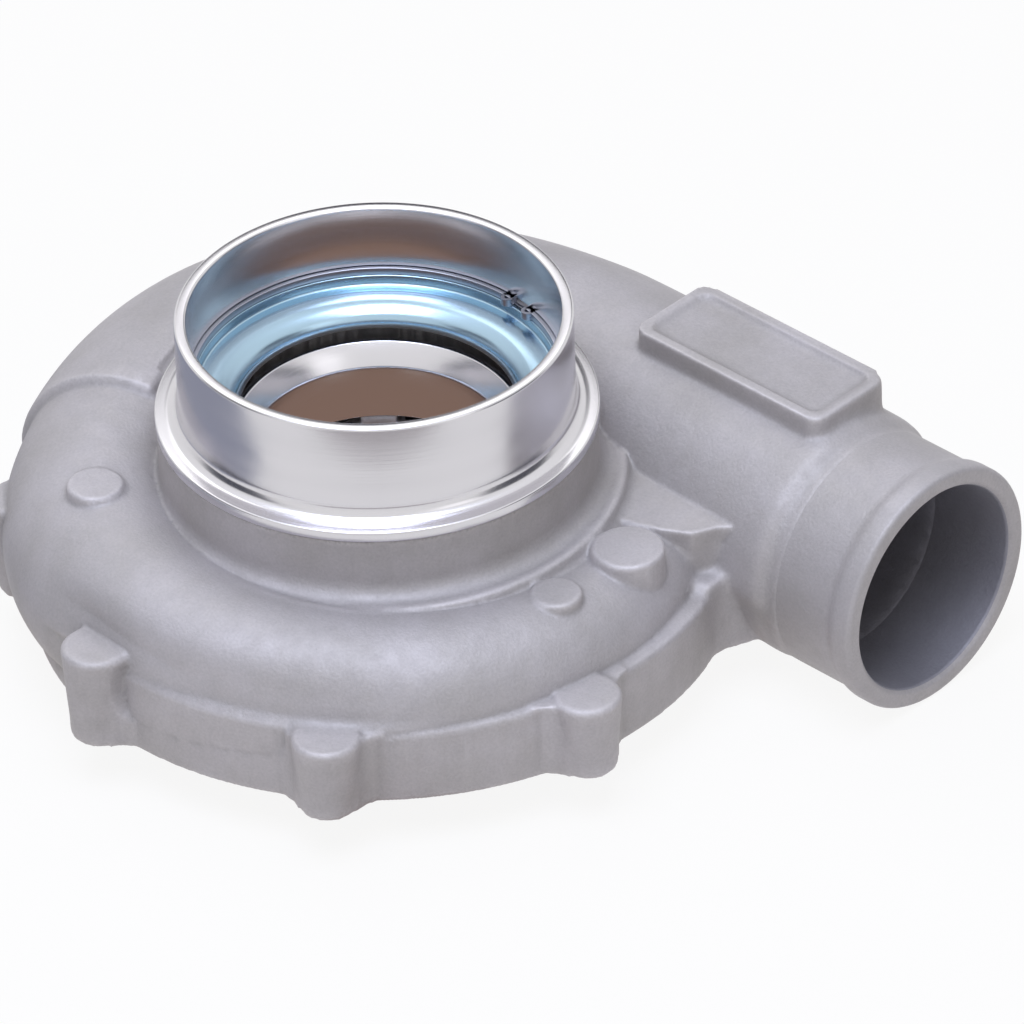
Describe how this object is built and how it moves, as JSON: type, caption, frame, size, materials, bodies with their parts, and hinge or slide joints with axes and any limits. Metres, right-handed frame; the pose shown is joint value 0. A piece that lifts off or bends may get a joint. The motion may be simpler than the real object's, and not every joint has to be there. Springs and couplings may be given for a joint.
{
  "type": "turbocharger compressor housing",
  "caption": "Cast aluminium compressor housing with machined hose inlet, sheet steel inlet baffle, snap ring, snail scroll, side outlet pipe and lugged flange.",
  "frame": {"origin": "on the wheel's axis, in the flange face that meets the backplate", "axes": "+Z along the wheel's axis towards the inlet, +X along the outlet pipe towards its mouth, +Y to the side where the outlet pipe lies"},
  "size_m": [0.2312, 0.2132, 0.1],
  "materials": {
    "cast_aluminium": "bead-blasted casting, turned bright at the inlet",
    "zinc_plated_steel": "blue-white zinc plating",
    "spring_steel": "bright spring steel"
  },
  "bodies": {
    "root": {"housing": "cast_aluminium", "inlet_baffle": "zinc_plated_steel", "snap_ring": "spring_steel"}
  },
  "joints": []
}
